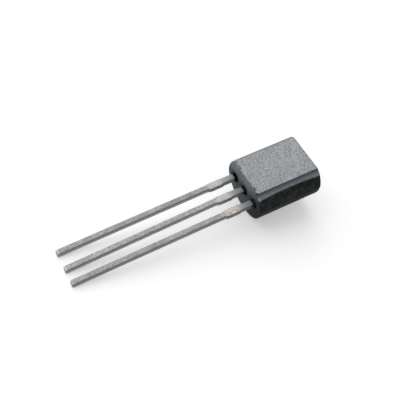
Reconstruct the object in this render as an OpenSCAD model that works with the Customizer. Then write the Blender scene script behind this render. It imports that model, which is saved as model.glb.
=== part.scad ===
// Voltage regulator in a three-lead moulded package, lying at rest with its flat face up.
// Sizes are in millimetres, +Z is up and the three leads run towards -Y.
//
// Each piece is drawn in the package's own frame: x runs across the leads, y = 0 is the
// seating end where the leads come out, y grows towards the top end, and z = 0 is the lead
// plane, which is also the mould's parting plane. The flat face looks along +z and the
// round side along -z. lie_down() then tips the package until the edge of its round side
// and the three lead tips stand on the same surface, z = 0 of the finished part.

/* [Body] */
// Width across the two round sides
body_w = 4.4; // [4.2:0.05:5.2]
// Height from the seating end to the top end
body_h = 5; // [4.4:0.05:5.3]
// Distance from the lead plane to the flat face
flat_gap = 1.38; // [1.2:0.02:1.5]
// Distance from the lead plane back to the centre of the round side
round_offset = 0.05; // [0:0.01:0.2]
// Width of the flat face between its bevels
flat_w = 3.12; // [2.8:0.04:3.2]
// Slope of the two long bevels, down from the flat face
bevel_angle = 41; // [35:1:55]
// Radius that softens the flat face's long edges
flat_edge_r = 0.12; // [0.05:0.01:0.2]
// Mould draft of the two end faces, in degrees, away from the parting plane
draft = 2.5; // [1:0.5:5]

/* [Lead exits] */
// Radius of the round relief that each lead leaves the body through
relief_r = 0.42; // [0.36:0.02:0.5]
// Depth of each relief
relief_depth = 0.25; // [0.1:0.05:0.5]

/* [Mould marks] */
// Diameter of the ejector pin's mark on the round side
ejector_d = 0.8; // [0.5:0.05:1]
// Depth of the ejector pin's mark
ejector_depth = 0.08; // [0.06:0.01:0.12]
// Width of the gate scar on the top end
gate_w = 0.8; // [0.4:0.1:1.2]
// Thickness of the gate scar
gate_t = 0.2; // [0.1:0.05:0.3]
// Height that the gate scar stands above the top end
gate_h = 0.04; // [0.02:0.01:0.08]

/* [Leads outside the body] */
// Spacing of the leads
lead_pitch = 1.27; // [1.2:0.01:1.3]
// Width of a lead
lead_w = 0.4; // [0.36:0.01:0.45]
// Thickness of the leadframe strip
lead_t = 0.4; // [0.36:0.01:0.45]
// Length of the leads below the seating end
lead_length = 13.6; // [8:0.1:16]
// Width of the neck next to the body, with the skin of resin flash on its sides
neck_w = 0.46; // [0.46:0.01:0.54]
// Length of the neck
neck_length = 1.05; // [0.6:0.05:1.5]
// Width over the two stubs where the dam bar was cut away
dam_w = 0.58; // [0.56:0.01:0.66]
// Length of the dam bar stubs
dam_length = 0.9; // [0.5:0.05:1.2]
// Length over which a stub narrows again, at its end
dam_taper = 0.3; // [0.1:0.05:0.5]
// Step between the neck and the dam bar stubs
dam_step = 0.08; // [0.04:0.01:0.15]
// Bevel on the cut tip of each lead
tip_bevel = 0.06; // [0.02:0.01:0.12]
// Sideways lean of the left lead below its shoulders, in degrees
left_lean = 0.6; // [-1.5:0.1:1.5]
// Sideways lean of the centre lead below its shoulders, in degrees
centre_lean = 1.2; // [-1.5:0.1:1.5]
// Sideways lean of the right lead below its shoulders, in degrees
right_lean = 0.6; // [-1.5:0.1:1.5]

/* [Leadframe inside the body] */
// Height of the locking notches above the seating end
lock_base = 0.65; // [0.55:0.05:0.8]
// Height of each locking notch
lock_h = 0.3; // [0.2:0.05:0.4]
// Width left between the two notches of a lead
lock_w = 0.3; // [0.24:0.01:0.36]
// Height of the bond posts' lower edge above the seating end
post_base = 1.45; // [1.3:0.05:1.6]
// Width of the bond posts on the outer leads
post_w = 0.62; // [0.56:0.02:0.68]
// Height of the bond posts
post_h = 0.8; // [0.6:0.05:1]
// Height of the die flag's lower edge above the seating end
flag_base = 1.5; // [1.3:0.05:1.6]
// Width of the die flag on the centre lead
flag_w = 1.5; // [1.3:0.05:1.6]
// Height of the die flag
flag_h = 1.8; // [1.5:0.05:2.2]
// Cut on the upper corners of the flag and the posts
corner_cut = 0.15; // [0.05:0.01:0.2]

/* [Die and bond wires] */
// Side of the square silicon die
die_w = 0.9; // [0.6:0.05:1]
// Thickness of the die
die_t = 0.25; // [0.15:0.01:0.35]
// Height of the die's centre above the flag's lower edge
die_rise = 0.9; // [0.7:0.05:1]
// Thickness of the die attach under the die
attach_t = 0.03; // [0.02:0.005:0.05]
// Width of the die attach that shows round the die
attach_rim = 0.06; // [0.02:0.01:0.1]
// Distance of each bond pad's centre from the die's edge
pad_inset = 0.18; // [0.1:0.01:0.25]
// Diameter of the bond wires
wire_d = 0.05; // [0.04:0.005:0.075]
// Height that a wire loops above a straight run between its ends
loop_h = 0.3; // [0.2:0.02:0.4]
// Diameter of the ball and stitch where a wire is bonded
bond_d = 0.12; // [0.1:0.01:0.16]
// Height of the ball and stitch
bond_h = 0.03; // [0.02:0.005:0.04]

/* [Hidden] */
$fn = 96;

LEFT = -1;
CENTRE = 0;
RIGHT = 1;

round_r = body_w / 2;
back_gap = round_r + round_offset;

// The package leans on its lower end edge and on the lead tips.
heel_y = back_gap * tan(draft);
rest_tilt = atan((back_gap - lead_t / 2) / (lead_length + heel_y));
rest_lift = lead_length * sin(rest_tilt) + lead_t / 2 * cos(rest_tilt);
far_y = (body_h - heel_y) * cos(rest_tilt) + back_gap * sin(rest_tilt);
near_y = -lead_length * cos(rest_tilt) - lead_t / 2 * sin(rest_tilt);
rest_shift = -(far_y + near_y) / 2;

lean_start = neck_length + dam_step + dam_length + dam_taper;
post_top = post_base + post_h;
post_y = post_base + post_h / 2;
die_y = flag_base + die_rise;
die_bottom = lead_t / 2 + attach_t;
die_top = die_bottom + die_t;
pad_x = die_w / 2 - pad_inset;
post_face = lead_t / 2;

WIRE_SIDES = 8;
WIRE_RINGS = 14;

module lie_down() {
    translate([0, rest_shift, rest_lift])
        rotate([rest_tilt, 0, 0])
            children();
}

// ---- Moulded body ----

// A corner of radius r that turns by `turn` degrees from a line heading along +x.
function soft_corner(corner, turn, r, steps = 4) =
    let (reach = r * tan(turn / 2), centre = corner - [reach, r])
    [for (i = [0:steps]) centre + r * [sin(turn * i / steps), cos(turn * i / steps)]];

// The flat face, its softened edges and the bevels, carried on past the round side.
function front_half(side) =
    let (edge = soft_corner([flat_w / 2, flat_gap], bevel_angle, flat_edge_r),
         run = body_w * [cos(bevel_angle), -sin(bevel_angle)],
         right = concat(edge, [[flat_w / 2, flat_gap] + run]))
    [for (p = right) [side * p[0], p[1]]];

module d_section() {
    right = front_half(RIGHT);
    left = front_half(LEFT);
    last = len(left) - 1;
    intersection() {
        translate([0, -round_offset]) circle(r = round_r);
        polygon(concat(
            right,
            [[body_w, -body_w], [-body_w, -body_w]],
            [for (i = [last:-1:0]) left[i]]));
    }
}

// Seen from the side, both end faces slope inwards from the parting plane.
module drafted_side() {
    slope = body_w * tan(draft);
    polygon([[0, 0], [slope, body_w], [body_h - slope, body_w],
             [body_h, 0], [body_h - slope, -body_w], [slope, -body_w]]);
}

module body_form() {
    intersection() {
        translate([0, body_h, 0]) rotate([90, 0, 0]) linear_extrude(body_h) d_section();
        rotate([90, 0, 90]) linear_extrude(body_w + 1, center = true) drafted_side();
    }
}

module gate_scar() {
    translate([-gate_w / 2, body_h / 2, -gate_t / 2])
        cube([gate_w, body_h / 2 + gate_h, gate_t]);
}

module ejector_mark() {
    translate([0, body_h / 2, -back_gap - 1])
        cylinder(d = ejector_d, h = 1 + ejector_depth);
}

module lead_relief(side) {
    translate([side * lead_pitch, relief_depth, 0])
        rotate([90, 0, 0]) cylinder(r = relief_r, h = relief_depth + 1);
}

module insert_shapes() {
    for (side = [LEFT, RIGHT]) {
        outer_lead_shape(side);
        bond_wire_shape(side);
    }
    centre_lead_shape();
    die_attach_shape();
    die_shape();
}

module moulded_body_shape() {
    difference() {
        union() {
            body_form();
            gate_scar();
        }
        ejector_mark();
        for (side = [LEFT, CENTRE, RIGHT]) lead_relief(side);
        insert_shapes();
    }
}

// ---- Leadframe ----

// A station is [y, half width]. The stations run from the tip up into the body.
function outside_stations() = [
    [-lead_length, lead_w / 2 - tip_bevel],
    [-lead_length + tip_bevel, lead_w / 2],
    [-lean_start, lead_w / 2],
    [-lean_start + dam_taper, dam_w / 2],
    [-neck_length - dam_step, dam_w / 2],
    [-neck_length, neck_w / 2],
    [lock_base, neck_w / 2],
    [lock_base, lock_w / 2],
    [lock_base + lock_h, lock_w / 2],
    [lock_base + lock_h, neck_w / 2]];

function head_stations(base, w, h) = [
    [base, neck_w / 2],
    [base, w / 2],
    [base + h - corner_cut, w / 2],
    [base + h, w / 2 - corner_cut]];

function lean_shift(y, lean) = max(0, -y - lean_start) * tan(lean);

module blanked_strip(stations, lean) {
    last = len(stations) - 1;
    linear_extrude(lead_t, center = true)
        polygon(concat(
            [for (s = stations) [lean_shift(s[0], lean) + s[1], s[0]]],
            [for (i = [last:-1:0]) [lean_shift(stations[i][0], lean) - stations[i][1], stations[i][0]]]));
}

module outer_lead_shape(side) {
    lean = side == LEFT ? left_lean : right_lean;
    translate([side * lead_pitch, 0, 0])
        blanked_strip(concat(outside_stations(), head_stations(post_base, post_w, post_h)), lean);
}

module centre_lead_shape() {
    blanked_strip(concat(outside_stations(), head_stations(flag_base, flag_w, flag_h)), centre_lean);
}

// ---- Die and bond wires ----

module square_slab(w, t) {
    translate([-w / 2, -w / 2, 0]) cube([w, w, t]);
}

module die_attach_shape() {
    translate([0, die_y, lead_t / 2]) square_slab(die_w + 2 * attach_rim, attach_t);
}

module die_shape() {
    translate([0, die_y, die_bottom]) square_slab(die_w, die_t);
}

// The wire leaves the die straight up, loops over and comes straight down on the post.
function wire_point(t, from, to) =
    let (ease = t * t * (3 - 2 * t))
    [from[0] + ease * (to[0] - from[0]),
     from[1] + ease * (to[1] - from[1]),
     from[2] + t * (to[2] - from[2]) + 4 * loop_h * t * (1 - t)];

function wire_heading(t, from, to) =
    let (d = [6 * t * (1 - t) * (to[0] - from[0]),
              6 * t * (1 - t) * (to[1] - from[1]),
              to[2] - from[2] + 4 * loop_h * (1 - 2 * t)])
    d / norm(d);

function wire_ring(centre, heading, across, r) =
    let (up = cross(heading, across))
    [for (k = [0:WIRE_SIDES - 1])
        centre + r * (cos(360 * k / WIRE_SIDES) * across + sin(360 * k / WIRE_SIDES) * up)];

module bond_wire_shape(side) {
    from = [side * pad_x, die_y - pad_x, die_top];
    to = [side * lead_pitch, post_y, post_face];
    flat_run = [to[0] - from[0], to[1] - from[1], 0];
    across = cross([0, 0, 1], flat_run) / norm(flat_run);
    up = [0, 0, bond_h];
    vertical = [0, 0, 1];
    rings = concat(
        [wire_ring(from, vertical, across, bond_d / 2),
         wire_ring(from + up, vertical, across, bond_d / 2)],
        [for (i = [1:WIRE_RINGS - 1])
            let (t = i / WIRE_RINGS)
            wire_ring(wire_point(t, from + up, to + up), wire_heading(t, from + up, to + up),
                      across, wire_d / 2)],
        [wire_ring(to + up, -vertical, across, bond_d / 2),
         wire_ring(to, -vertical, across, bond_d / 2)]);
    n = WIRE_SIDES;
    last = len(rings) - 1;
    polyhedron(
        points = [for (ring = rings) for (p = ring) p],
        faces = concat(
            [[for (k = [0:n - 1]) k]],
            [for (i = [0:last - 1]) for (k = [0:n - 1])
                [i * n + (k + 1) % n, i * n + k, (i + 1) * n + k]],
            [for (i = [0:last - 1]) for (k = [0:n - 1])
                [i * n + (k + 1) % n, (i + 1) * n + k, (i + 1) * n + (k + 1) % n]],
            [[for (k = [n - 1:-1:0]) last * n + k]]));
}

// ---- Nodes ----

module moulded_body() { color("dimgray") lie_down() moulded_body_shape(); }
module left_lead() { color("silver") lie_down() outer_lead_shape(LEFT); }
module centre_lead() { color("silver") lie_down() centre_lead_shape(); }
module right_lead() { color("silver") lie_down() outer_lead_shape(RIGHT); }
module die_attach() { color("lightgray") lie_down() die_attach_shape(); }
module silicon_die() { color("slategray") lie_down() die_shape(); }
module left_bond_wire() { color("gold") lie_down() bond_wire_shape(LEFT); }
module right_bond_wire() { color("gold") lie_down() bond_wire_shape(RIGHT); }

moulded_body();
left_lead();
centre_lead();
right_lead();
die_attach();
silicon_die();
left_bond_wire();
right_bond_wire();
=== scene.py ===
# Looks of a three-lead moulded package, lying at rest with its flat face up.
# Shapes and patterns are worked out in the package's own frame, in millimetres: x runs across the
# leads, y = 0 is the seating end, y grows towards the top end, and z = 0 is the lead plane, which
# is also the mould's parting plane. The flat face looks along +z and the round side along -z.
import bpy, bmesh, math
from mathutils import Matrix, Vector


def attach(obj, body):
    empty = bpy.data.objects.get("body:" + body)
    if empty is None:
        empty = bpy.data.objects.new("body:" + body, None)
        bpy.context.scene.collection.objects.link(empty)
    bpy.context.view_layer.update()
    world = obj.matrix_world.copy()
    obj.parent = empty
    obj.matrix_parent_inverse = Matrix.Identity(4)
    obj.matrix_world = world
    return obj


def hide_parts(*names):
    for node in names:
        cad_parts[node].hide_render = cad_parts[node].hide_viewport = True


# ---- Sizes and the pose at rest, as in the CAD ----
BODY_W, BODY_H, FLAT_GAP, ROUND_OFFSET = 4.4, 5.0, 1.38, 0.05
FLAT_W, BEVEL, FLAT_EDGE_R, DRAFT = 3.12, 41.0, 0.12, 2.5
RELIEF_R, RELIEF_DEPTH = 0.42, 0.25
EJECTOR_D, EJECTOR_DEPTH = 0.8, 0.08
GATE_W, GATE_T, GATE_H = 0.8, 0.2, 0.04
LEAD_PITCH, LEAD_W, LEAD_T, LEAD_LENGTH = 1.27, 0.4, 0.4, 13.6
NECK_W, NECK_LENGTH = 0.46, 1.05
DAM_STEP, DAM_LENGTH, DAM_TAPER = 0.08, 0.9, 0.3
LEFT_LEAN, CENTRE_LEAN, RIGHT_LEAN = 0.6, 1.2, 0.6
LOCK_BASE, LOCK_H, LOCK_W = 0.65, 0.3, 0.3
POST_BASE, POST_W, POST_H = 1.45, 0.62, 0.8
FLAG_BASE, FLAG_W, FLAG_H, CORNER_CUT = 1.5, 1.5, 1.8, 0.15
DIE_W, DIE_RISE, PAD_INSET = 0.9, 0.9, 0.18

BACK_GAP = BODY_W / 2 + ROUND_OFFSET    # from the lead plane to the round side's middle
HEEL_Y = BACK_GAP * math.tan(math.radians(DRAFT))
TILT = math.atan((BACK_GAP - LEAD_T / 2) / (LEAD_LENGTH + HEEL_Y))
LIFT = LEAD_LENGTH * math.sin(TILT) + LEAD_T / 2 * math.cos(TILT)
FAR_Y = (BODY_H - HEEL_Y) * math.cos(TILT) + BACK_GAP * math.sin(TILT)
NEAR_Y = -LEAD_LENGTH * math.cos(TILT) - LEAD_T / 2 * math.sin(TILT)
SHIFT = -(FAR_Y + NEAR_Y) / 2
TO_PACKAGE = Matrix.Rotation(-TILT, 4, "X") @ Matrix.Translation((0, -SHIFT, -LIFT))
TO_SCENE = Matrix.Scale(0.001, 4) @ TO_PACKAGE.inverted()
TO_MM = TO_PACKAGE @ Matrix.Scale(1000, 4)
STUBS_END = NECK_LENGTH + DAM_STEP + DAM_LENGTH + DAM_TAPER

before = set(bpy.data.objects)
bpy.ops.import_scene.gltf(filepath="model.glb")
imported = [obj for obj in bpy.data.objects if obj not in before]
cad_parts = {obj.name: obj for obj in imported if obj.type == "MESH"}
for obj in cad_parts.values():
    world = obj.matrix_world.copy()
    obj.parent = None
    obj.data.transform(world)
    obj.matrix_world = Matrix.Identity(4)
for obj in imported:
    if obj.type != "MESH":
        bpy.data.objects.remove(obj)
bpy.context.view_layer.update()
scene = bpy.context.scene


# ---- Mesh helpers ----
WELD = 0.0001             # points closer than this, in millimetres, become one
CREASE = 32               # sharper edges than this, in degrees, are shaded as edges
LATHE_STEPS = 64


def solid(name, points, faces):
    """A mesh object in millimetres with all its faces turned outwards."""
    mesh = bpy.data.meshes.new(name)
    mesh.from_pydata([tuple(p) for p in points], [], faces)
    shell = bmesh.new()
    shell.from_mesh(mesh)
    bmesh.ops.recalc_face_normals(shell, faces=shell.faces)
    shell.to_mesh(mesh)
    shell.free()
    made = bpy.data.objects.new(name, mesh)
    scene.collection.objects.link(made)
    return made


def loft(name, rings, caps=None):
    """A closed skin through rings of equal length, with its two ends filled."""
    n, last = len(rings[0]), (len(rings) - 1) * len(rings[0])
    faces = [(i * n + k, i * n + (k + 1) % n, (i + 1) * n + (k + 1) % n, (i + 1) * n + k)
             for i in range(len(rings) - 1) for k in range(n)]
    for cap in caps or [list(range(n))]:
        faces += [tuple(cap), tuple(k + last for k in cap)]
    return solid(name, [p for ring in rings for p in ring], faces)


def combine(made, tool, operation, keep_tool=False):
    """Joins the tool to the mesh or cuts it out of it."""
    step = made.modifiers.new("combine", "BOOLEAN")
    step.operation, step.solver, step.object = operation, "EXACT", tool
    graph = bpy.context.evaluated_depsgraph_get()
    mesh = bpy.data.meshes.new_from_object(made.evaluated_get(graph))
    made.modifiers.clear()
    made.data = mesh
    if not keep_tool:
        bpy.data.objects.remove(tool)


def wobble(a, b=0.0):
    """A fixed uneven number from -1 to 1 that changes smoothly with its values."""
    return (math.sin(7.3 * a + 3.1 * b + 0.7) + math.sin(17.9 * a - 11.3 * b + 2.1)
            + math.sin(41.7 * a + 23.9 * b + 4.4)) / 3


def finish_piece(made, look, replaced):
    """Cleans the mesh, puts it in its place at rest and lets it replace the CAD's node."""
    skin = bmesh.new()
    skin.from_mesh(made.data)
    bmesh.ops.remove_doubles(skin, verts=skin.verts, dist=WELD)
    bmesh.ops.dissolve_degenerate(skin, dist=WELD, edges=skin.edges)
    skin.to_mesh(made.data)
    skin.free()
    made.data.transform(TO_SCENE)
    made.data.shade_smooth()
    made.data.set_sharp_from_angle(angle=math.radians(CREASE))
    made.data.materials.clear()
    made.data.materials.append(look)
    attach(made, "root")
    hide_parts(replaced)


# ---- Moulded body ----
END_RIM_R, CORNER_R = 0.05, 0.05
HALF_MISMATCH = 0.004     # the flat half of the mould is this much narrower a side
INSIDE = 0.001            # kept inside the CAD's box
EDGE_STEPS, CORNER_STEPS, SIDE_STEPS, ROUND_STEPS, RIM_STEPS = 6, 5, 10, 40, 6
RELIEF_FLASH = 0.12       # flash narrows each relief by this much on one side
EJECTOR_RIM = 0.01        # the ejector mark's opening is wider by this much all round
GATE_CELLS_X, GATE_CELLS_Z, GATE_ROOT = 28, 8, 0.4
GATE_SINK, GATE_EDGE_SINK = 0.02, 0.035     # how far the torn patch stays below the gate's height


def d_outline():
    """Half of the section, from the flat's middle down to the round side's middle, as pairs of a
    point (x, z) and its normal, and the number of pairs above the parting plane."""
    turn = math.radians(BEVEL)
    normal = Vector((math.sin(turn), math.cos(turn)))
    along = Vector((math.cos(turn), -math.sin(turn)))
    corner = Vector((FLAT_W / 2, FLAT_GAP))
    hub, r = Vector((0, -ROUND_OFFSET)), BODY_W / 2 - INSIDE
    reach = FLAT_EDGE_R * math.tan(turn / 2)
    first = corner - Vector((reach, FLAT_EDGE_R))
    start = corner - CORNER_R * normal - hub
    b = start.dot(along)
    t = -b + math.sqrt(b * b - start.length_squared + (r - CORNER_R) ** 2)
    second = start + hub + t * along
    joined = math.atan2((second - hub).x, (second - hub).y)
    parting = math.acos(ROUND_OFFSET / r)
    side = [(Vector((0, FLAT_GAP)), Vector((0, 1)))]

    def arc(centre, radius, begin, end, steps, skip=0):
        for i in range(skip, steps + 1):
            a = begin + (end - begin) * i / steps
            out = Vector((math.sin(a), math.cos(a)))
            side.append((centre + radius * out, out))

    arc(first, FLAT_EDGE_R, 0, turn, EDGE_STEPS)
    arc(second, CORNER_R, turn, joined, CORNER_STEPS)
    arc(hub, r, joined, parting, SIDE_STEPS, skip=1)
    seam = len(side)
    arc(hub, r, parting, math.pi, ROUND_STEPS)
    narrow = 1 - HALF_MISMATCH / (BODY_W / 2)
    side = [(Vector((p.x * narrow, p.y)) if i < seam else p, out) for i, (p, out) in enumerate(side)]
    return side, seam


def body_blank():
    """The body before its reliefs and marks: the D section lofted between two drafted ends."""
    side, seam = d_outline()
    left = [(Vector((-p.x, p.y)), Vector((-out.x, out.y))) for p, out in side[1:-1]]
    outline = side + left[::-1]
    n = len(outline)
    slope = math.tan(math.radians(DRAFT))
    rim = [(END_RIM_R * (1 - math.sin(a)), END_RIM_R * (1 - math.cos(a)))
           for a in (math.pi / 2 * i / RIM_STEPS for i in range(RIM_STEPS + 1))]
    stations = [(inset, 0, rise) for inset, rise in rim]
    stations += [(0, tenth / 10, 0) for tenth in range(1, 10)]
    stations += [(inset, 1, -rise) for inset, rise in rim[::-1]]
    rings = []
    for inset, share, rise in stations:
        ring = []
        for p, out in outline:
            q = p - inset * out
            low = abs(q.y) * slope
            ring.append((q.x, low + share * (BODY_H - 2 * low) + rise, q.y))
        rings.append(ring)
    seam_right, seam_left = seam - 1, n - (seam - 1)
    upper = list(range(0, seam_right + 1)) + list(range(seam_left, n))
    lower = list(range(seam_right, seam_left + 1))
    return loft("epoxy_body", rings, [upper, lower])


def lathe(name, profile):
    """Turned about the y axis through the origin. The profile is [y, radius]."""
    turns = [2 * math.pi * k / LATHE_STEPS for k in range(LATHE_STEPS)]
    return loft(name, [[(r * math.cos(a), y, r * math.sin(a)) for a in turns] for y, r in profile])


def relief_tool(side):
    """The cut for the recess round one lead, with a rounded floor. Flash fills part of it on one
    side of the lead, so its opening is a little oval."""
    tool = lathe("relief", [(-1, RELIEF_R), (RELIEF_DEPTH - 0.05, RELIEF_R),
                            (RELIEF_DEPTH - 0.015, RELIEF_R - 0.02), (RELIEF_DEPTH, RELIEF_R - 0.06)])
    narrow = Matrix.Scale(1 - RELIEF_FLASH / RELIEF_R / 2, 4, Vector((1, 0, 0)))
    tool.data.transform(Matrix.Translation((side * LEAD_PITCH + RELIEF_FLASH / 2, 0, 0)) @ narrow)
    return tool


def ejector_tool():
    """The cut for the ejector pin's mark in the middle of the round side."""
    r = EJECTOR_D / 2
    tool = lathe("ejector", [(-1, r + EJECTOR_RIM), (0, r + EJECTOR_RIM),
                             (EJECTOR_DEPTH - 0.02, r), (EJECTOR_DEPTH, r - 0.03)])
    tool.data.transform(Matrix.Translation((0, BODY_H / 2, -BACK_GAP))
                        @ Matrix.Rotation(math.pi / 2, 4, "X"))
    return tool


def gate_stub():
    """The broken gate: a low torn patch on the top end."""
    across, through = GATE_CELLS_X, GATE_CELLS_Z
    points, faces = [], []
    for j in range(through + 1):
        for i in range(across + 1):
            x, z = GATE_W * (i / across - 0.5), GATE_T * (j / through - 0.5)
            edge = min(i, across - i) * min(j, through - j)
            torn = 0.014 * wobble(x * 3, z * 9) + 0.006 * wobble(x * 11, z * 23)
            top = GATE_H - GATE_SINK + torn if edge else GATE_H - GATE_EDGE_SINK
            points.append((x, BODY_H + min(top, GATE_H - INSIDE), z))
    row = across + 1
    for j in range(through):
        for i in range(across):
            k = j * row + i
            faces.append((k, k + 1, k + row + 1, k + row))
    border = list(range(row)) + [row * j + across for j in range(1, through + 1)]
    border += [row * through + i for i in range(across - 1, -1, -1)]
    border += [row * j for j in range(through - 1, 0, -1)]
    base = len(points)
    points += [(points[k][0], BODY_H - GATE_ROOT, points[k][2]) for k in border]
    m = len(border)
    for i in range(m):
        j = (i + 1) % m
        faces.append((border[i], border[j], base + j, base + i))
    faces.append(tuple(range(base, base + m)))
    return solid("gate", points, faces)


# ---- Leads ----
LEAD_EDGE_R, TIP_R = 0.04, 0.08
TIP_ROLL, TIP_DROP = 0.26, 0.07     # length and depth of the tip's rolled upper edge
STEP = 0.002              # length over which a lead's width steps inside the body
TIP_RINGS, ROLL_RINGS, BLADE_RINGS, STUB_RINGS, NECK_RINGS = 5, 8, 60, 75, 20
BLADE_WAVE, STUB_WAVE = 0.003, 0.006      # how unevenly the blanked sides run
STUB_TEAR, NECK_TEAR = 0.012, 0.002       # and how rough they are
NECK_INSET = 0.002        # keeps the rough neck inside its width in the CAD
TEAR_FROM, TEAR_FADE = 0.14, 0.06   # roughness starts this far from a lead's middle and fades in
# How far the two sides of each lead's dam bar stand out from its middle, and the leads' seeds.
LEFT_STUBS, CENTRE_STUBS, RIGHT_STUBS = (0.245, 0.282), (0.26, 0.284), (0.282, 0.284)
LEFT_SEED, CENTRE_SEED, RIGHT_SEED = 1.3, 4.1, 8.6


def lead_ring(y, left, right, top, bottom, rough, seed, shift):
    """One closed section of a lead with softened edges: half widths to each side and heights."""
    r = min(LEAD_EDGE_R, (left + right) / 3, (top - bottom) / 3)
    ring = []
    corners = ((right - r, top - r, 0), (-left + r, top - r, 90),
               (-left + r, bottom + r, 180), (right - r, bottom + r, 270))
    for c, (x, z, begin) in enumerate(corners):
        for i in range(4):
            a = math.radians(begin + 30 * i)
            ring.append([x + r * math.cos(a), y, z + r * math.sin(a)])
        nx, nz, _ = corners[(c + 1) % 4]
        a = math.radians(begin + 90)
        p = (x + r * math.cos(a), z + r * math.sin(a))
        q = (nx + r * math.cos(a), nz + r * math.sin(a))
        steps = 4 if c in (1, 3) else 2
        for i in range(1, steps):
            ring.append([p[0] + (q[0] - p[0]) * i / steps, y, p[1] + (q[1] - p[1]) * i / steps])
    for p in ring:
        sideways = min(1.0, max(0.0, (abs(p[0]) - TEAR_FROM) / TEAR_FADE))
        torn = rough * wobble(y * 1.7 + seed, p[2] * 5 + seed)
        p[0] += math.copysign(sideways, p[0]) * torn + shift
    return [tuple(p) for p in ring]


def lead(name, x, head, seed, lean, stubs):
    """head is [y, half width] from the seating end up. stubs is how far each side of the dam bar
    stands out from the lead's middle."""
    lean = math.tan(math.radians(lean))
    half, neck = LEAD_W / 2, NECK_W / 2
    rings = []

    def add(y, left, right, rough=0.0, top=LEAD_T / 2, bottom=-LEAD_T / 2):
        rings.append(lead_ring(y, left, right, top, bottom, rough, seed,
                               x + max(0.0, -y - STUBS_END) * lean))

    def rolled(rise):
        return LEAD_T / 2 - TIP_DROP * (1 - rise / TIP_ROLL) ** 2

    for i in range(TIP_RINGS + 1):      # the tip, softened all round
        a = math.pi / 2 * i / TIP_RINGS
        inset, rise = TIP_R * (1 - math.sin(a)), TIP_R * (1 - math.cos(a))
        add(-LEAD_LENGTH + rise, half - inset, half - inset, 0,
            rolled(rise) - inset, -LEAD_T / 2 + inset * 0.5)
    for i in range(1, ROLL_RINGS + 1):
        rise = TIP_R + (TIP_ROLL - TIP_R) * i / ROLL_RINGS
        add(-LEAD_LENGTH + rise, half, half, 0, rolled(rise))
    start, end = -LEAD_LENGTH + TIP_ROLL, -STUBS_END
    for i in range(1, BLADE_RINGS):     # the long blade, with its sides a little wavy
        y = start + (end - start) * i / BLADE_RINGS
        add(y, half + BLADE_WAVE * wobble(y * 0.21 + seed),
            half + BLADE_WAVE * wobble(y * 0.23 - seed))
    length = STUBS_END - NECK_LENGTH
    for i in range(STUB_RINGS + 1):     # the stubs that the cut dam bar leaves
        y = -STUBS_END + length * i / STUB_RINGS
        rise = min(1.0, max(0.0, (y + STUBS_END) / DAM_TAPER))
        fall = min(1.0, max(0.0, (-NECK_LENGTH - y) / DAM_STEP))
        swell = rise * rise * (3 - 2 * rise)
        low, full = half + (neck - half) * swell, swell * fall
        add(y, low + (stubs[0] - neck) * full + STUB_WAVE * swell * wobble(y * 1.3 + seed),
            low + (stubs[1] - neck) * full + STUB_WAVE * swell * wobble(y * 1.1 - seed),
            STUB_TEAR * full)
    for i in range(1, NECK_RINGS + 1):  # the neck, smooth where it enters the body
        add(-NECK_LENGTH * (1 - i / NECK_RINGS), neck - NECK_INSET, neck - NECK_INSET,
            NECK_TEAR if i < NECK_RINGS else 0.0)
    for y, width in head:
        add(y, width, width)
    return loft(name, rings)


def head_profile(base, width, height):
    """The part of a lead inside the body, as [y, half width]: the notches, then the post or flag."""
    neck, lock = NECK_W / 2, LOCK_W / 2
    return [(LOCK_BASE - STEP, neck), (LOCK_BASE, lock), (LOCK_BASE + LOCK_H, lock),
            (LOCK_BASE + LOCK_H + STEP, neck), (base - STEP, neck), (base, width / 2),
            (base + height - CORNER_CUT, width / 2),
            (base + height, width / 2 - CORNER_CUT)]


# ---- Node materials ----

def srgb(r, g, b):
    """A colour written in 0 to 255 display values, as the linear values that shaders take."""
    def linear(v):
        v /= 255
        return v / 12.92 if v <= 0.04045 else ((v + 0.055) / 1.055) ** 2.4
    return (linear(r), linear(g), linear(b), 1)


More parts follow.
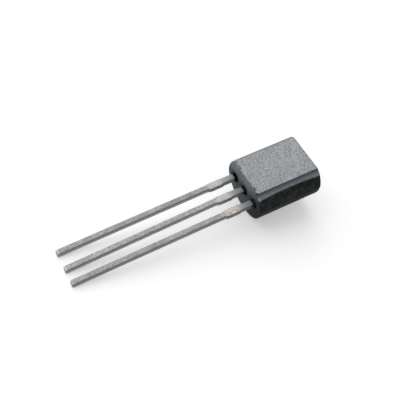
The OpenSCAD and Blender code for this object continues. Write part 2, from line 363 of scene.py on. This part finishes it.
class Pattern:
    """One node material in package millimetres. Each call adds a node and returns its output."""

    def __init__(self, name, plain):
        """plain holds the sockets of the shader that keep one value all over."""
        self.material = bpy.data.materials.new(name)
        self.material.use_nodes = True
        self.tree = self.material.node_tree
        self.tree.nodes.clear()
        self.shader = self.tree.nodes.new("ShaderNodeBsdfPrincipled")
        out = self.tree.nodes.new("ShaderNodeOutputMaterial")
        self.tree.links.new(self.shader.outputs[0], out.inputs[0])
        for socket, value in plain.items():
            self.shader.inputs[socket].default_value = value
        mapping = self.tree.nodes.new("ShaderNodeMapping")
        mapping.inputs["Scale"].default_value = (1000, 1000, 1000)
        mapping.inputs["Rotation"].default_value = TO_PACKAGE.to_euler()
        mapping.inputs["Location"].default_value = TO_PACKAGE.translation
        self.tree.links.new(self.node("TexCoord", out="Object"), mapping.inputs["Vector"])
        self.place = mapping.outputs[0]
        self.x, self.y, self.z = self.split(self.place)
        turn = self.tree.nodes.new("ShaderNodeMapping")
        turn.vector_type = "NORMAL"
        turn.inputs["Rotation"].default_value = TO_PACKAGE.to_euler()
        self.tree.links.new(self.node("NewGeometry", out="Normal"), turn.inputs["Vector"])
        self.nx, self.ny, self.nz = self.split(turn.outputs[0])

    def link(self, value, socket):
        """Links an output to the socket, or sets the socket to a plain value."""
        if isinstance(value, bpy.types.NodeSocket):
            self.tree.links.new(value, socket)
        else:
            socket.default_value = value

    def split(self, vector):
        made = self.tree.nodes.new("ShaderNodeSeparateXYZ")
        self.tree.links.new(vector, made.inputs[0])
        return made.outputs

    def node(self, kind, *values, out=0, **settings):
        made = self.tree.nodes.new("ShaderNode" + kind)
        for key, value in settings.items():
            setattr(made, key, value)
        for i, value in enumerate(values):
            if value is not None:
                self.link(value, made.inputs[i])
        return made.outputs[out]

    def math(self, operation, a, b=0.0):
        return self.node("Math", a, b, operation=operation)

    def both(self, a, b):
        return self.math("MULTIPLY", a, b)

    def ramp(self, value, start, end, low=0.0, high=1.0, kind="SMOOTHSTEP"):
        """Goes from low to high while value goes from start to end, and is constant beyond."""
        made = self.tree.nodes.new("ShaderNodeMapRange")
        made.interpolation_type = kind
        for socket, v in zip(made.inputs, (value, start, end, low, high)):
            self.link(v, socket)
        return made.outputs[0]

    def blend(self, factor, a, b, kind="MIX"):
        """a where the factor is 0, and b where it is 1."""
        made = self.tree.nodes.new("ShaderNodeMix")
        made.data_type, made.blend_type = "RGBA", kind
        self.link(factor, made.inputs[0])
        self.link(a, made.inputs[6])
        self.link(b, made.inputs[7])
        return made.outputs[2]

    def noise(self, scale, detail, rough, stretch=None):
        where = self.place
        if stretch:
            where = self.node("VectorMath", where, stretch, operation="MULTIPLY")
        made = self.tree.nodes.new("ShaderNodeTexNoise")
        self.tree.links.new(where, made.inputs["Vector"])
        made.inputs["Scale"].default_value = scale
        made.inputs["Detail"].default_value = detail
        made.inputs["Roughness"].default_value = rough
        return made.outputs[0]

    def distance(self, point):
        return self.node("VectorMath", self.place, point, operation="DISTANCE", out=1)

    def bump(self, height, distance):
        """distance is how far the surface rises where the height is 1, in millimetres."""
        made = self.tree.nodes.new("ShaderNodeBump")
        made.inputs["Strength"].default_value = 1.0
        made.inputs["Distance"].default_value = distance / 1000
        self.tree.links.new(height, made.inputs["Height"])
        return made.outputs[0]

    def finish(self, colour, roughness, normal):
        self.link(colour, self.shader.inputs["Base Color"])
        self.link(roughness, self.shader.inputs["Roughness"])
        self.link(normal, self.shader.inputs["Normal"])
        return self.material


# ---- Moulded epoxy ----
# Left and right, low and high are as in the package's frame.
EPOXY_SPECULAR = 0.03     # the filler leaves hardly any mirror reflection
# Painted light on the bevels: a highlight along the lower border, shade towards the flat, and the
# left bevel painted lighter where the lamp falls.
BEVEL_HIGHLIGHT_LOW, BEVEL_SHADE_HIGH, BEVEL_LIT_LEFT = srgb(138, 142, 145), srgb(80, 83, 87), srgb(150, 154, 157)
SIDE_DARK, SIDE_LIGHT = srgb(25, 29, 28), srgb(49, 52, 51)
# Painted light and shade on the ends: lighter high up, darker low down and to the right, shade round
# the leads and a highlight along the flat's edge.
END_SHADE_LOW, END_LIT_HIGH, END_SHADE_RIGHT = srgb(88, 92, 96), srgb(128, 133, 136), srgb(50, 54, 54)
LEAD_SHADE, END_EDGE_HIGHLIGHT = srgb(38, 40, 42), srgb(146, 149, 152)
FLAT_COOL, FLAT_WARM = srgb(180, 186, 188), srgb(194, 193, 200)
GRIT_DARK, GRIT_LIGHT = srgb(84, 88, 92), srgb(224, 227, 230)
RUB, CORNER_DARK_SPOT = srgb(148, 151, 153), srgb(26, 27, 29)
# Painted shade inside the reliefs.
RELIEF_SHADE_LEFT, RELIEF_SHADE_RIGHT = srgb(14, 15, 16), srgb(36, 37, 41)
# A worn patch on one corner of the seating end, and a dark spot where the flat, the bevel and that
# end meet.
RUB_AT, DARK_SPOT_AT = (1.85, 0.06, 1.06), (1.55, 0.03, 1.34)    # wear on one corner of the seating end
BEVEL_FROM, BEVEL_FULL, BEVEL_BOW = 1.05, 1.13, 0.12        # heights of the bevel's lower border


def epoxy():
    """Filled black epoxy: frosted where the mould is spark-eroded, smooth on the round side."""
    p = Pattern("moulded_epoxy", {"Specular IOR Level": EPOXY_SPECULAR})
    fine, coarse, wide = p.noise(24, 2, 0.6), p.noise(10, 5, 0.8), p.noise(1.1, 3, 0.6)

    # Where the flat, the bevels and the two ends are.
    flat = p.ramp(p.nz, 0.90, 0.985)
    from_middle = p.math("DIVIDE", p.math("SUBTRACT", p.y, BODY_H / 2), BODY_H / 2)
    height = p.math("ADD", p.z, p.both(p.both(from_middle, from_middle), BEVEL_BOW))
    bevel = p.ramp(height, BEVEL_FROM, BEVEL_FULL)
    end = p.ramp(p.math("ABSOLUTE", p.ny), 0.70, 0.95)
    seating = p.ramp(p.ny, 0.5, -0.5)
    frosted = p.math("MAXIMUM", p.math("MAXIMUM", flat, bevel), end)

    # The distance from the nearest lead's axis, for the reliefs and the skin round them.
    across = p.math("PINGPONG", p.math("ADD", p.x, LEAD_PITCH * 1.5), LEAD_PITCH / 2)
    across = p.math("SUBTRACT", across, LEAD_PITCH / 2)
    from_lead = p.math("SQRT", p.math("ADD", p.both(across, across), p.both(p.z, p.z)))
    not_side = p.ramp(p.math("ABSOLUTE", p.x), 2.0, 1.8)

    # The round side and the bevels.
    side = p.blend(p.ramp(p.noise(2.6, 4, 0.75), 0.40, 0.60), SIDE_DARK, SIDE_LIGHT)
    # The bevels' colour is painted light: a painted highlight low down, painted shade towards the
    # flat, and the left bevel, which faces the lamp, painted lighter.
    slant = p.blend(p.ramp(p.z, 1.13, 1.34), BEVEL_HIGHLIGHT_LOW, BEVEL_SHADE_HIGH)
    slant = p.blend(p.ramp(p.x, 0.5, -0.5), slant, BEVEL_LIT_LEFT)
    colour = p.blend(bevel, side, slant)

    # The ends, with painted light and shade: lighter towards the flat, darker low down and to the
    # right. Only the seating end has painted shade round the leads and a painted highlight along the
    # flat's edge.
    # Painted shade: darker low down and to the right, lighter towards the flat.
    butt = p.blend(p.ramp(p.z, 0.1, 0.95), END_SHADE_LOW, END_LIT_HIGH)
    rightwards = p.math("SUBTRACT", p.x, p.both(p.z, 0.3))
    butt = p.blend(p.ramp(rightwards, 0.0, 1.9), butt, END_SHADE_RIGHT)
    # Painted shade round each lead on the seating end.
    lead_shade = p.both(p.ramp(from_lead, 0.72, 0.42), not_side)
    butt = p.blend(p.both(p.both(lead_shade, seating), 0.5), butt, LEAD_SHADE)
    # A painted highlight along the seating end's edge under the flat.
    rim = p.ramp(p.math("ADD", p.z, p.both(p.noise(4.5, 3, 0.6), 0.6)), 1.50, 1.62)
    butt = p.blend(p.both(rim, seating), butt, END_EDGE_HIGHLIGHT)
    colour = p.blend(end, colour, butt)

    # The flat, with nicks along its edge at the seating end.
    face = p.blend(p.ramp(wide, 0.40, 0.60), FLAT_COOL, FLAT_WARM)
    nick = p.both(p.ramp(p.y, 0.26, 0.12), p.ramp(p.noise(3.5, 2, 0.5), 0.54, 0.60))
    face = p.blend(nick, face, GRIT_DARK)
    colour = p.blend(flat, colour, face)

    # The speckle of the spark-eroded mould: dark grains and lighter ones.
    grit = p.ramp(coarse, 0.36, 0.60, 0.75, 0.0)
    colour = p.blend(p.both(grit, p.ramp(frosted, 0, 1, 0.1, 1.0)), colour, GRIT_DARK, "DARKEN")
    light = p.both(p.ramp(coarse, 0.56, 0.66), p.ramp(frosted, 0, 1, 0.0, 0.7))
    colour = p.blend(light, colour, GRIT_LIGHT, "SOFT_LIGHT")

    # Wear on one corner, a dark spot at another, and painted shade inside the reliefs.
    uneven = p.both(p.noise(6, 3, 0.7), 0.35)
    rub = p.ramp(p.math("ADD", p.distance(RUB_AT), uneven), 0.34, 0.24)
    colour = p.blend(rub, colour, RUB)
    # A dark spot where the flat, the bevel and the seating end meet.
    dark_spot = p.ramp(p.math("ADD", p.distance(DARK_SPOT_AT), uneven), 0.31, 0.24)
    colour = p.blend(dark_spot, colour, CORNER_DARK_SPOT)
    # Painted shade inside the reliefs, darkest on the left.
    relief_shade = p.both(p.both(p.ramp(p.y, 0.02, 0.08), p.ramp(from_lead, 0.47, 0.44)), not_side)
    relief_shade = p.both(relief_shade, p.ramp(p.y, 0.5, 0.4))
    colour = p.blend(relief_shade, colour, p.blend(p.ramp(p.x, -1.3, 1.9), RELIEF_SHADE_LEFT, RELIEF_SHADE_RIGHT))

    rough = p.ramp(frosted, 0, 1, 0.52, 0.70)
    relief = p.both(p.math("ADD", fine, coarse), p.ramp(frosted, 0, 1, 0.12, 1.0))
    return p.finish(colour, rough, p.bump(relief, 0.010))


# ---- Tin plate ----
TOP_DULL, TOP_BRIGHT, TOP_GRAIN = srgb(136, 136, 133), srgb(150, 150, 150), srgb(93, 94, 92)
CENTRE_TOP = 1.13         # how many times brighter the centre lead's top is
# The blanked sides hold a painted floor reflection low down and painted shade high up.
SHEARED_REFLECTION_LOW, SHEARED_SHADE_HIGH, SHEARED_GRAIN = srgb(157, 156, 154), srgb(114, 114, 112), srgb(93, 93, 91)
SHEARED_LEFT, SHEARED_RIGHT = 1.13, 0.89  # for the left and centre leads' sides, and the right one's
STUB_LEFT, STUB_RIGHT, STUB_WORN = srgb(161, 161, 159), srgb(168, 162, 156), srgb(127, 125, 122)
FLAKE_AT = (1.44, -1.60, 0.2)             # a bright torn flake on the right-hand stub
FLAKE_STRETCH = (1, 0.35, 0.3)
FLAKE_EDGE, FLAKE_BRIGHT = srgb(134, 126, 119), srgb(189, 183, 175)
RAGGED_LEFT, RAGGED_RIGHT = srgb(100, 95, 84), srgb(75, 70, 62)
CUT_LEFT, CUT_RIGHT = srgb(170, 170, 169), srgb(153, 153, 152)
SKIN_TOP_LEFT, SKIN_TOP_RIGHT = srgb(136, 140, 141), srgb(123, 127, 128)
SKIN_SIDE_LEFT, SKIN_SIDE_RIGHT = srgb(152, 155, 156), srgb(99, 102, 103)
# Dark resin at each lead's root, running on as painted shade inside the relief.
RESIN_AND_SHADE_LEFT, RESIN_AND_SHADE_RIGHT = srgb(10, 10, 11), srgb(44, 45, 50)


def tin():
    """Dull tin plate: rolled grain on the faces, torn and darker on the blanked sides, which also
    carry a painted reflection and painted shade.
    """
    p = Pattern("tin_plate", {"Metallic": 1.0})
    side = p.ramp(p.math("ABSOLUTE", p.nx), 0.55, 0.85)
    rightwards = p.ramp(p.x, -1.3, 1.3, kind="LINEAR")
    grain = p.noise(5.5, 4, 0.75, (3, 1, 3))
    patch = p.noise(1.0, 3, 0.6, (1.5, 1, 1.5))
    torn = p.noise(5, 3, 0.7)

    # The rolled top and bottom, and the blanked sides.
    colour = p.blend(p.ramp(patch, 0.42, 0.58), TOP_DULL, TOP_BRIGHT)
    centre = p.ramp(p.math("ABSOLUTE", p.x), 0.6, 0.4, 1.0, CENTRE_TOP)
    colour = p.blend(1.0, colour, centre, "MULTIPLY")
    colour = p.blend(p.ramp(grain, 0.36, 0.58, 0.9, 0.0), colour, TOP_GRAIN)
    # The blanked sides are painted lighter low down as a reflection of the floor, and darker under
    # the top edge as shade.
    sheared = p.blend(p.ramp(p.z, 0.0, 0.14), SHEARED_REFLECTION_LOW, SHEARED_SHADE_HIGH)
    sheared = p.blend(p.ramp(grain, 0.36, 0.58, 0.6, 0.0), sheared, SHEARED_GRAIN)
    sheared = p.blend(1.0, sheared, p.ramp(p.x, 0.4, 1.0, SHEARED_LEFT, SHEARED_RIGHT), "MULTIPLY")
    colour = p.blend(side, colour, sheared)

    # The stubs of the dam bar: brighter on top, with one flake, and ragged at the sides.
    along = p.math("ADD", p.y, p.both(p.math("SUBTRACT", torn, 0.5), 0.9))
    stub = p.both(p.ramp(along, -2.5, -1.9), p.ramp(along, -0.75, -1.45))
    bright = p.blend(p.ramp(p.x, 0.8, 1.0), STUB_LEFT, STUB_RIGHT)
    bright = p.blend(p.ramp(torn, 0.35, 0.55, 0.5, 0.0), bright, STUB_WORN)
    colour = p.blend(p.both(stub, p.ramp(side, 0, 1, 0.9, 0.1)), colour, bright)
    flake = p.node("VectorMath", p.place, FLAKE_AT, operation="SUBTRACT")
    flake = p.node("VectorMath", flake, FLAKE_STRETCH, operation="MULTIPLY")
    flake = p.node("VectorMath", flake, operation="LENGTH", out=1)
    flake = p.math("ADD", flake, p.both(torn, 0.08))
    colour = p.blend(p.ramp(flake, 0.19, 0.14), colour, FLAKE_EDGE)
    colour = p.blend(p.ramp(flake, 0.12, 0.09), colour, FLAKE_BRIGHT)
    ragged = p.both(p.both(stub, side), p.ramp(torn, 0.56, 0.42))
    colour = p.blend(p.both(ragged, 0.8), colour, p.blend(rightwards, RAGGED_LEFT, RAGGED_RIGHT))

    # The tips, freshly cut.
    tip = p.ramp(p.y, -LEAD_LENGTH + 0.24, -LEAD_LENGTH + 0.1)
    tip = p.both(tip, p.ramp(side, 0, 1, 1.0, 0.0))
    fresh = p.blend(p.ramp(p.x, 0.6, 1.0), CUT_LEFT, CUT_RIGHT)
    colour = p.blend(p.both(tip, p.ramp(torn, 0.35, 0.6, 0.2, 0.75)), colour, fresh)

    # The thin skin of resin on the neck, and where it enters the body dark resin flash that runs on
    # as painted shade over the lead inside the relief.
    skin = p.both(p.ramp(along, -1.3, -0.5), p.ramp(torn, 0.3, 0.6, 0.6, 0.95))
    over = p.blend(rightwards, SKIN_TOP_LEFT, SKIN_TOP_RIGHT)
    beside = p.blend(rightwards, SKIN_SIDE_LEFT, SKIN_SIDE_RIGHT)
    colour = p.blend(skin, colour, p.blend(side, over, beside))
    # Dark resin flash at the body, and painted shade on the lead inside the relief.
    resin_and_shade = p.ramp(p.math("ADD", p.y, p.both(side, 0.07)), -0.19, -0.09)
    colour = p.blend(resin_and_shade, colour, p.blend(rightwards, RESIN_AND_SHADE_LEFT, RESIN_AND_SHADE_RIGHT))

    rough = p.ramp(grain, 0.3, 0.7, 0.40, 0.54)
    rough = p.math("ADD", rough, p.both(p.math("MAXIMUM", skin, side), 0.12))
    height = p.math("ADD", grain, p.both(side, p.noise(16, 2, 0.6)))
    return p.finish(colour, rough, p.bump(height, 0.010))


# ---- Inside the body ----
SOLDER_DULL, SOLDER_BRIGHT = srgb(150, 150, 150), srgb(190, 189, 186)
CHIP_DARK, CHIP_LIGHT = srgb(70, 74, 84), srgb(92, 96, 106)
SCRIBE, ALUMINIUM = srgb(48, 50, 56), srgb(205, 206, 208)
GOLD_DARK, GOLD_LIGHT = srgb(226, 184, 96), srgb(240, 204, 120)
SCRIBE_W, PAD_W = 0.04, 0.2


def solder():
    """The die attach: dull grained solder."""
    p = Pattern("die_solder", {"Metallic": 1.0})
    grain = p.noise(18, 3, 0.6)
    colour = p.blend(p.ramp(grain, 0.35, 0.65), SOLDER_DULL, SOLDER_BRIGHT)
    return p.finish(colour, p.ramp(grain, 0.3, 0.7, 0.35, 0.6), p.bump(grain, 0.004))


def silicon():
    """The die: dark silicon with two aluminium pads and a scribe line round its edge."""
    p = Pattern("silicon_surface", {"Specular IOR Level": 0.5})
    v = p.math("SUBTRACT", p.y, FLAG_BASE + DIE_RISE)
    across, along = p.math("ABSOLUTE", p.x), p.math("ABSOLUTE", v)
    out = p.math("MAXIMUM", across, along)
    edge = p.ramp(out, DIE_W / 2 - SCRIBE_W - 0.005, DIE_W / 2 - SCRIBE_W + 0.005)
    pad_at = DIE_W / 2 - PAD_INSET
    pad = p.math("MAXIMUM", p.math("ABSOLUTE", p.math("SUBTRACT", across, pad_at)),
                 p.math("ABSOLUTE", p.math("ADD", v, pad_at)))
    pad = p.both(p.ramp(pad, PAD_W / 2 + 0.005, PAD_W / 2), p.ramp(p.nz, 0.8, 0.95))
    grain = p.noise(30, 2, 0.5)
    colour = p.blend(grain, CHIP_DARK, CHIP_LIGHT)
    colour = p.blend(edge, colour, SCRIBE)
    colour = p.blend(pad, colour, ALUMINIUM)
    return p.finish(colour, p.ramp(pad, 0, 1, 0.18, 0.35), p.bump(p.math("ADD", pad, grain), 0.002))


def gold():
    """A bond wire: gold, with faint marks from drawing."""
    p = Pattern("gold_wire", {"Metallic": 1.0})
    drawn = p.noise(40, 2, 0.5, (1, 1, 3))
    colour = p.blend(drawn, GOLD_DARK, GOLD_LIGHT)
    return p.finish(colour, p.ramp(drawn, 0.3, 0.7, 0.18, 0.32), p.bump(drawn, 0.001))


# ---- The pieces ----
epoxy_look, tin_look = epoxy(), tin()
post = head_profile(POST_BASE, POST_W, POST_H)
flag = head_profile(FLAG_BASE, FLAG_W, FLAG_H)
leads = {
    "left_lead": lead("left_tin_lead", -LEAD_PITCH, post, LEFT_SEED, LEFT_LEAN, LEFT_STUBS),
    "centre_lead": lead("centre_tin_lead", 0.0, flag, CENTRE_SEED, CENTRE_LEAN, CENTRE_STUBS),
    "right_lead": lead("right_tin_lead", LEAD_PITCH, post, RIGHT_SEED, RIGHT_LEAN, RIGHT_STUBS),
}
body = body_blank()
combine(body, gate_stub(), "UNION")
for side in (-1, 0, 1):
    combine(body, relief_tool(side), "DIFFERENCE")
combine(body, ejector_tool(), "DIFFERENCE")
# The leads, the die and the wires fill their own cavities in the body.
for name, made in leads.items():
    combine(body, made, "DIFFERENCE", keep_tool=True)
for name in ("die_attach", "silicon_die", "left_bond_wire", "right_bond_wire"):
    tool = bpy.data.objects.new("tool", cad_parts[name].data.copy())
    tool.data.transform(TO_MM)
    scene.collection.objects.link(tool)
    combine(body, tool, "DIFFERENCE")

finish_piece(body, epoxy_look, "moulded_body")
for name, made in leads.items():
    finish_piece(made, tin_look, name)
for name, look in (("die_attach", solder()), ("silicon_die", silicon()),
                   ("left_bond_wire", gold()), ("right_bond_wire", gold())):
    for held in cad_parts[name].material_slots:
        held.material = look


# ---- Floor, light and camera ----
AMBIENT = 0.48            # the world's strength for every ray that isn't for the white background
KEY, KEY_SPREAD = 1.75, 100
KEY_FROM = (-0.72, -0.26, 0.64)
FLOOR_SIZE, FLOOR_GREY, FLOOR_GLOW = 2, 0.86, 0.34
LENS, SENSOR, CLIP = 69.219, 36, (0.001, 20)
# The camera as it was fitted to the photo's edges, with its place in millimetres.
CAMERA_RIGHT = (0.46796, 0.87189, 0.14428)
CAMERA_DOWN = (0.72914, -0.28866, -0.62052)
CAMERA_AHEAD = (-0.49938, 0.39557, -0.77081)
CAMERA_AT = (26.0286, -20.0802, 42.9179)


def sees_white(tree):
    """1 for the rays that see the white background: straight, mirrored or through something."""
    path = tree.nodes.new("ShaderNodeLightPath")
    total = path.outputs["Is Camera Ray"]
    for kind in ("Is Glossy Ray", "Is Transmission Ray"):
        either = tree.nodes.new("ShaderNodeMath")
        either.operation = "MAXIMUM"
        tree.links.new(total, either.inputs[0])
        tree.links.new(path.outputs[kind], either.inputs[1])
        total = either.outputs[0]
    return total


def studio_floor():
    """A pale floor that takes the part's soft shadow and is white around it."""
    grid = bmesh.new()
    bmesh.ops.create_grid(grid, x_segments=1, y_segments=1, size=FLOOR_SIZE)
    mesh = bpy.data.meshes.new("floor")
    grid.to_mesh(mesh)
    grid.free()
    floor = bpy.data.objects.new("floor", mesh)
    scene.collection.objects.link(floor)
    look = bpy.data.materials.new("studio_floor")
    look.use_nodes = True
    tree = look.node_tree
    tree.nodes.clear()
    paper = tree.nodes.new("ShaderNodeBsdfDiffuse")
    paper.inputs[0].default_value = (FLOOR_GREY, FLOOR_GREY, FLOOR_GREY, 1)
    glow = tree.nodes.new("ShaderNodeEmission")
    both = tree.nodes.new("ShaderNodeAddShader")
    level = tree.nodes.new("ShaderNodeMath")
    level.operation = "MULTIPLY"
    level.inputs[1].default_value = FLOOR_GLOW
    tree.links.new(sees_white(tree), level.inputs[0])
    tree.links.new(level.outputs[0], glow.inputs["Strength"])
    tree.links.new(paper.outputs[0], both.inputs[0])
    tree.links.new(glow.outputs[0], both.inputs[1])
    out = tree.nodes.new("ShaderNodeOutputMaterial")
    tree.links.new(both.outputs[0], out.inputs[0])
    mesh.materials.append(look)


def studio_light():
    """A white background with a dimmer even light, and one very wide lamp."""
    world = bpy.data.worlds.new("studio")
    scene.world = world
    world.use_nodes = True
    tree = world.node_tree
    tree.nodes.clear()
    level = tree.nodes.new("ShaderNodeMapRange")
    level.inputs[3].default_value = AMBIENT
    level.inputs[4].default_value = 1.0
    tree.links.new(sees_white(tree), level.inputs[0])
    back = tree.nodes.new("ShaderNodeBackground")
    out = tree.nodes.new("ShaderNodeOutputWorld")
    back.inputs["Color"].default_value = (1, 1, 1, 1)
    tree.links.new(level.outputs[0], back.inputs["Strength"])
    tree.links.new(back.outputs[0], out.inputs[0])
    key = bpy.data.lights.new("key", "SUN")
    key.energy, key.angle = KEY, math.radians(KEY_SPREAD)
    lamp = bpy.data.objects.new("key", key)
    scene.collection.objects.link(lamp)
    lamp.rotation_euler = Vector(KEY_FROM).to_track_quat("Z", "Y").to_euler()


def camera():
    """The photo's viewpoint."""
    data = bpy.data.cameras.new("camera")
    data.lens, data.sensor_width, data.sensor_height = LENS, SENSOR, SENSOR
    data.clip_start, data.clip_end = CLIP
    made = bpy.data.objects.new("camera", data)
    scene.collection.objects.link(made)
    axes = Matrix((CAMERA_RIGHT, -Vector(CAMERA_DOWN), -Vector(CAMERA_AHEAD)))
    stand = axes.transposed().to_4x4()
    stand.translation = Vector(CAMERA_AT) / 1000
    made.matrix_world = stand
    scene.camera = made


studio_floor()
studio_light()
camera()
scene.view_settings.view_transform = "Standard"
